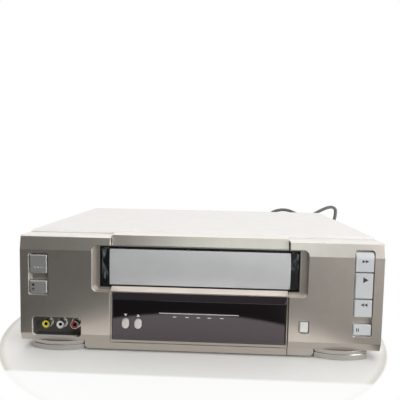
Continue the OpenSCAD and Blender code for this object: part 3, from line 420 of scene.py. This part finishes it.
FINISH = {
    "front_panel": taupe, "window_frame": taupe, "top_trim": panel_shade("trim_paint", 0.2), "jack_bay": bay_dark,
    "cassette_door": flap_silver, "door_end_caps": mirror_black, "door_pins": steel,
    "display_window": window_black, "display_tube": glass_dark,
    "channel_down_button": channel_silver, "channel_up_button": channel_silver,
    "power_button": key_grey, "stop_eject_button": key_grey, "record_button": white_plastic,
    "fast_forward_button": key_silver, "play_button": key_silver, "rewind_button": key_silver,
    "pause_button": key_silver, "front_feet": foot_silver, "rear_feet": rubber,
    "top_cover": cover_white, "cover_screws": steel, "bottom_chassis": plated, "rear_panel": rear_paint,
    "rear_jack_block": black_plastic, "rf_modulator": plated,
    "display_board": board_shade("display_board_finish", before("display_board")),
    "key_boards": board_shade("key_board_finish", before("key_boards")),
    "main_board": main_finish, "power_board": power_finish,
    "deck_plate": plated, "lower_drum": cast, "upper_drum": steel, "tape_heads": steel,
    "supply_reel": black_plastic, "takeup_reel": black_plastic, "idler_arm": steel, "idler_wheel": rubber,
    "capstan": steel, "capstan_motor": cast, "pinch_arm": steel, "pinch_roller": rubber,
    "supply_guide": steel, "takeup_guide": steel,
    "loading_motor": cast, "loading_worm": white_plastic, "loading_cam": white_plastic,
    "carriage_frame": plated, "carriage_slider": plated, "cassette_basket": black_plastic,
    "strain_relief": cord_grey, "power_plug": cord_grey, "power_cord": cord_grey, "cord_coil": cord_grey,
    "front_video_jack": socket_shade("ring_yellow", RING_YELLOW, [FRONT_JACKS["video"]]),
    "front_left_audio_jack": socket_shade("ring_white", RING_WHITE, [FRONT_JACKS["left"]]),
    "front_right_audio_jack": socket_shade("ring_red", RING_RED, [FRONT_JACKS["right"]]),
}
for row, (name, tint) in enumerate((("rear_video_jacks", RING_YELLOW), ("rear_left_audio_jacks", RING_WHITE),
                                    ("rear_right_audio_jacks", RING_RED))):
    spots = [(x, REAR_JACK_TOP_Z - row * JACK_PITCH) for x in REAR_JACK_XS]
    FINISH[name] = socket_shade("ring_" + name, tint, spots)
for name, mat in FINISH.items():
    mesh = frame["nodes"][name].data
    mesh.materials.clear()
    mesh.materials.append(mat)


# Power cord, from the strain relief to the plug, along the same points as the part's source
CORD_D = 0.005
CORD_R = CORD_D / 2
CORD_X, CORD_Z = 0.092, 0.085
EXIT_Y = 0.144
COIL_X, COIL_MID_Y = 0.060, 0.182
COIL_IN_R, COIL_PITCH, COIL_TURNS = 0.017, 0.0055, 4
COIL_LEAD, COIL_TAIL = 0.012, 0.024
COIL_Y = COIL_MID_Y + COIL_IN_R + COIL_PITCH * COIL_TURNS
ROUTE = [
    (CORD_X, EXIT_Y, CORD_Z), (CORD_X, EXIT_Y + 0.006, CORD_Z), (0.093, 0.156, 0.087), (0.095, 0.159, 0.095),
    (0.098, 0.160, 0.104), (0.106, 0.160, 0.112), (0.119, 0.160, 0.116), (0.132, 0.160, 0.115),
    (0.144, 0.160, 0.110), (0.156, 0.160, 0.106), (0.166, 0.160, 0.107), (0.175, 0.160, 0.112),
    (0.184, 0.160, 0.117), (0.193, 0.160, 0.121), (0.201, 0.160, 0.122), (0.206, 0.160, 0.118),
    (0.206, 0.160, 0.108), (0.204, 0.161, 0.096), (0.204, 0.163, 0.080), (0.205, 0.165, 0.062),
    (0.206, 0.167, 0.044), (0.206, 0.170, 0.027), (0.203, 0.175, 0.013), (0.196, 0.183, 0.005),
    (0.185, 0.192, CORD_R), (0.170, 0.201, CORD_R), (0.152, 0.209, CORD_R), (0.132, 0.216, CORD_R),
    (0.112, COIL_Y, CORD_R), (0.096, COIL_Y, CORD_R), (0.084, COIL_Y, CORD_R),
    (COIL_X + COIL_LEAD, COIL_Y, CORD_R)]


def between(a, b, c, d, t):
    """A point of the smooth curve from b to c."""
    return 0.5 * (2 * b + (c - a) * t + (2 * a - 5 * b + 4 * c - d) * t * t + (3 * b - a - 3 * c + d) * t ** 3)


def smooth(points, steps):
    """The first stretch stays straight, and nothing goes under the table."""
    pts = [Vector(p) for p in points]
    ends = pts + [pts[-1]]
    out = [pts[0]]
    for i in range(len(pts) - 2):
        for k in range(steps):
            at = between(*ends[i:i + 4], k / steps)
            out.append(Vector((at.x, at.y, max(at.z, CORD_R))))
    return out + [pts[-1]]


def coil_point(t):
    """t turns along the coil: in on the table, up a layer where it reverses, and out again on top."""
    radius = COIL_IN_R + COIL_PITCH * abs(t - COIL_TURNS)
    z = CORD_R + COIL_PITCH * max(0, min(1, (t - COIL_TURNS) * 2 + 0.5))
    angle = pi / 2 + 2 * pi * t
    return Vector((COIL_X + radius * cos(angle), COIL_MID_Y + radius * sin(angle), z))


COIL_STEPS = 24  # points a turn
ROUTE_STEPS = 2  # points between two of the route's
cord_points = smooth(ROUTE, ROUTE_STEPS)
cord_points += [coil_point(k / COIL_STEPS) for k in range(2 * COIL_TURNS * COIL_STEPS + 1)]
cord_points.append(Vector((COIL_X - COIL_TAIL, COIL_Y, CORD_R + COIL_PITCH)))
curve = bpy.data.curves.new("mains_cord", "CURVE")
curve.dimensions = "3D"
curve.bevel_depth = CORD_R
curve.bevel_resolution = 3
curve.use_fill_caps = True
spline = curve.splines.new("POLY")
spline.points.add(len(cord_points) - 1)
for point, at in zip(spline.points, cord_points):
    point.co = (*at, 1)
curve.materials.append(cord_grey)
cord = bpy.data.objects.new("mains_cord", curve)
bpy.context.scene.collection.objects.link(cord)
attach(cord, "case")
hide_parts("power_cord", "cord_coil")


# Printed marks: plain dots, bars and arrows, each a thin piece that rides on its key or on the window
MARK_T = 0.06
KEY_FACE = -0.2
WINDOW_FACE = 0.4


def mark(name, outline, y, body, mat):
    """An outline in x and z, in millimetres, standing a hair proud of the face at y."""
    n = len(outline)
    verts = [front(x, y, z) for x, z in outline] + [front(x, y - MARK_T, z) for x, z in outline]
    faces = [tuple(range(n)), tuple(range(2 * n - 1, n - 1, -1))]
    faces += [(i, i + n, (i + 1) % n + n, (i + 1) % n) for i in range(n)]
    mesh = bpy.data.meshes.new(name)
    mesh.from_pydata(verts, [], faces)
    mesh.materials.append(mat)
    made = bpy.data.objects.new(name, mesh)
    bpy.context.scene.collection.objects.link(made)
    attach(made, body)


def box_outline(x0, x1, z0, z1):
    return [(x0, z0), (x1, z0), (x1, z1), (x0, z1)]


def disc(x, z, r, n=20):
    return [(x + r * cos(2 * pi * k / n), z + r * sin(2 * pi * k / n)) for k in range(n)]


def arrow_up(x, z, w, h):
    return [(x - w / 2, z - h / 2), (x + w / 2, z - h / 2), (x, z + h / 2)]


def arrow_side(x, z, w, h, way):
    """Pointing right for way 1 and left for way -1."""
    return [(x - way * w / 2, z - h / 2), (x + way * w / 2, z), (x - way * w / 2, z + h / 2)]


for key, mat, marks in (
        ("power_button", printed, [(f"power_dot_{k}", disc(x, 82.2, 0.75))
                                   for k, x in enumerate((-160.2, -157, -153.8))]),
        ("stop_eject_button", printed_dark, [("stop_mark", box_outline(-163.2, -160.8, 63.6, 66)),
                                             ("eject_mark", arrow_up(-162, 61.3, 3, 1.8)),
                                             ("eject_bar", box_outline(-163.5, -160.5, 59.2, 59.8))]),
        ("fast_forward_button", printed_dark, [(f"forward_mark_{k}", arrow_side(x, 96.4, 3.2, 3.2, 1))
                                               for k, x in enumerate((155.4, 158.6))]),
        ("play_button", printed_dark, [("play_mark", arrow_side(157.9, 78.6, 5, 5.6, 1))]),
        ("rewind_button", printed_dark, [(f"rewind_mark_{k}", arrow_side(x, 54.6, 3.2, 3.2, -1))
                                         for k, x in enumerate((155.6, 158.8))]),
        ("pause_button", printed_dark, [(f"pause_mark_{k}", box_outline(x - 0.45, x + 0.45, 28.4, 31.6))
                                        for k, x in enumerate((151.4, 153))])):
    for name, outline in marks:
        mark(name, outline, KEY_FACE, key, mat)
window_marks = [("down_mark", [(-72.5, 38.4), (-69.3, 38.4), (-70.9, 36)]),
                ("up_mark", [(-60.2, 36), (-57, 36), (-58.6, 38.4)]),
                ("window_line", box_outline(-38.2, 38.9, 39.9, 40.5))]
window_marks += [(f"window_dot_{k}", box_outline(x - 1.7, x + 1.7, 36.4, 37.1))
                 for k, x in enumerate((-23, -10.8, 0, 10.8, 22.7))]
for name, outline in window_marks:
    mark(name, outline, WINDOW_FACE, "case", printed)


# Floor, light and background
def area_light(name, at, towards, size, power, colour=(1, 1, 1)):
    """A rectangle of light: places and sizes in metres, power in watts."""
    data = bpy.data.lights.new(name, "AREA")
    data.shape = "RECTANGLE"
    data.size, data.size_y = size
    data.energy = power
    data.color = colour
    lamp = bpy.data.objects.new(name, data)
    bpy.context.scene.collection.objects.link(lamp)
    lamp.location = at
    lamp.rotation_euler = (Vector(towards) - Vector(at)).to_track_quat("-Z", "Y").to_euler()


area_light("key_right", (1.15, -1.1, 0.40), (0.05, -0.1, 0.05), (0.5, 0.6), 13)
area_light("high_front", (0.15, -1.5, 0.42), (0.05, -0.1, 0.08), (0.75, 0.3), 1.25, (0.88, 1, 1))
area_light("top_soft", (0.0, 0.1, 1.5), (0, 0, 0), (2.2, 2.2), 11)

# A pale table, with a darker ring at its edge as the painted shade of a rounded edge. The object mirrors a dark
# room beyond the edge in front, and the camera sees white there. In front of a line before the panel the camera
# sees the table glow white too, a painted pool of light past the object's shadow
FLOOR_HALF = 6
FLOOR_DROP = 0.0002
TABLE_MID = front(-8.1, 88, 0)
TABLE_R = 0.2045
GLOOM_EDGE, RIM_EDGE, GLARE_EDGE = (-0.004, 0.004), (-0.002, 0.003), (0.003, 0.005)  # from the table's radius
# The darker ring colour at the table's edge is painted shade
TABLE_PALE, TABLE_EDGE_SHADE, ROOM_DARK = (0.93, 0.93, 0.91), (0.74, 0.72, 0.66), (0.03, 0.03, 0.03)
# Past this line in front the camera sees the table glow white: a painted pool of light beyond the object's shadow
BRIGHT_FROM, BRIGHT_TO, BRIGHT_FRONT = FRONT_Y - 43 * MM, FRONT_Y - 47 * MM, 0.85
PAST_Y = 0.231  # behind the object, where mirrored rays see the white background too

floor_mesh = bpy.data.meshes.new("floor")
floor_mesh.from_pydata([(x * FLOOR_HALF, y * FLOOR_HALF, 0) for x, y in ((-1, -1), (1, -1), (1, 1), (-1, 1))], [],
                       [(0, 1, 2, 3)])
floor = bpy.data.objects.new("floor", floor_mesh)
floor.location.z = -FLOOR_DROP
bpy.context.scene.collection.objects.link(floor)
floor_mat, tree, floor_bsdf = new_material("floor_pale")
floor_bsdf.inputs["Roughness"].default_value = 0.7
floor_bsdf.inputs["Specular IOR Level"].default_value = 0.2
rays = node(tree, "ShaderNodeLightPath").outputs
place = split(tree, object_place(tree))
off_table = away_from(tree, object_place(tree), TABLE_MID)


def outside(edge):
    """From 0 inside the table to 1 outside it, over the given stretch at its edge."""
    return spanned(tree, off_table, TABLE_R + edge[0], TABLE_R + edge[1], 0, 1)


beyond = product(tree, [outside(GLOOM_EDGE), within(tree, place, [("Y", LOW, FRONT_Y)])])
unseen = product(tree, [math(tree, "SUBTRACT", 1, rays["Is Camera Ray"]),
                        spanned(tree, place["X"], 0.08, 0.2, 1, 0.8)])
# Painted shade: a darker ring at the table's edge, for the camera
rim = product(tree, [outside(RIM_EDGE), rays["Is Camera Ray"]])
link(tree, mixed(tree, product(tree, [beyond, unseen]), mixed(tree, rim, TABLE_PALE, TABLE_EDGE_SHADE), ROOM_DARK),
     floor_bsdf.inputs["Base Color"])
glow = node(tree, "ShaderNodeEmission")
glow.inputs["Strength"].default_value = 1
# Glow for the camera outside the table, and in front of the line as a painted pool of light
bright = largest(tree, [outside(GLARE_EDGE), spanned(tree, place["Y"], BRIGHT_FROM, BRIGHT_TO, 0, BRIGHT_FRONT)])
blend = node(tree, "ShaderNodeMixShader")
link(tree, largest(tree, [product(tree, [bright, rays["Is Camera Ray"]]),
                          product(tree, [mirror_ray(tree, rays), within(tree, place, [("Y", HIGH, PAST_Y)])])]),
     blend.inputs["Fac"])
link(tree, floor_bsdf.outputs[0], blend.inputs[1])
link(tree, glow.outputs[0], blend.inputs[2])
link(tree, blend.outputs[0], tree.nodes["Material Output"].inputs["Surface"])
floor_mesh.materials.append(floor_mat)

# The room: dim at eye level in front, brighter above and behind, and white for the camera. Mirrored rays see
# that white where they go past the object
BACKWARD = 0.3
world = bpy.data.worlds.new("world")
bpy.context.scene.world = world
world.use_nodes = True
tree = world.node_tree
tree.nodes.clear()
rays = node(tree, "ShaderNodeLightPath").outputs
way = split(tree, node(tree, "ShaderNodeTexCoord").outputs["Generated"])
room = largest(tree, [spanned(tree, way["Z"], 0.4, 0.9, 0.1, 0.75), spanned(tree, way["Y"], 0.1, 0.5, 0, 0.9)])
soft = node(tree, "ShaderNodeBackground")
soft.inputs["Color"].default_value = (1, 0.985, 0.97, 1)
link(tree, room, soft.inputs["Strength"])
white = node(tree, "ShaderNodeBackground")
white.inputs["Color"].default_value = (1, 1, 1, 1)
white.inputs["Strength"].default_value = 1
past = product(tree, [mirror_ray(tree, rays), within(tree, way, [("Y", HIGH, BACKWARD)])])
mix = node(tree, "ShaderNodeMixShader")
link(tree, largest(tree, [rays["Is Camera Ray"], past]), mix.inputs["Fac"])
link(tree, soft.outputs["Background"], mix.inputs[1])
link(tree, white.outputs["Background"], mix.inputs[2])
link(tree, mix.outputs["Shader"], node(tree, "ShaderNodeOutputWorld").inputs["Surface"])
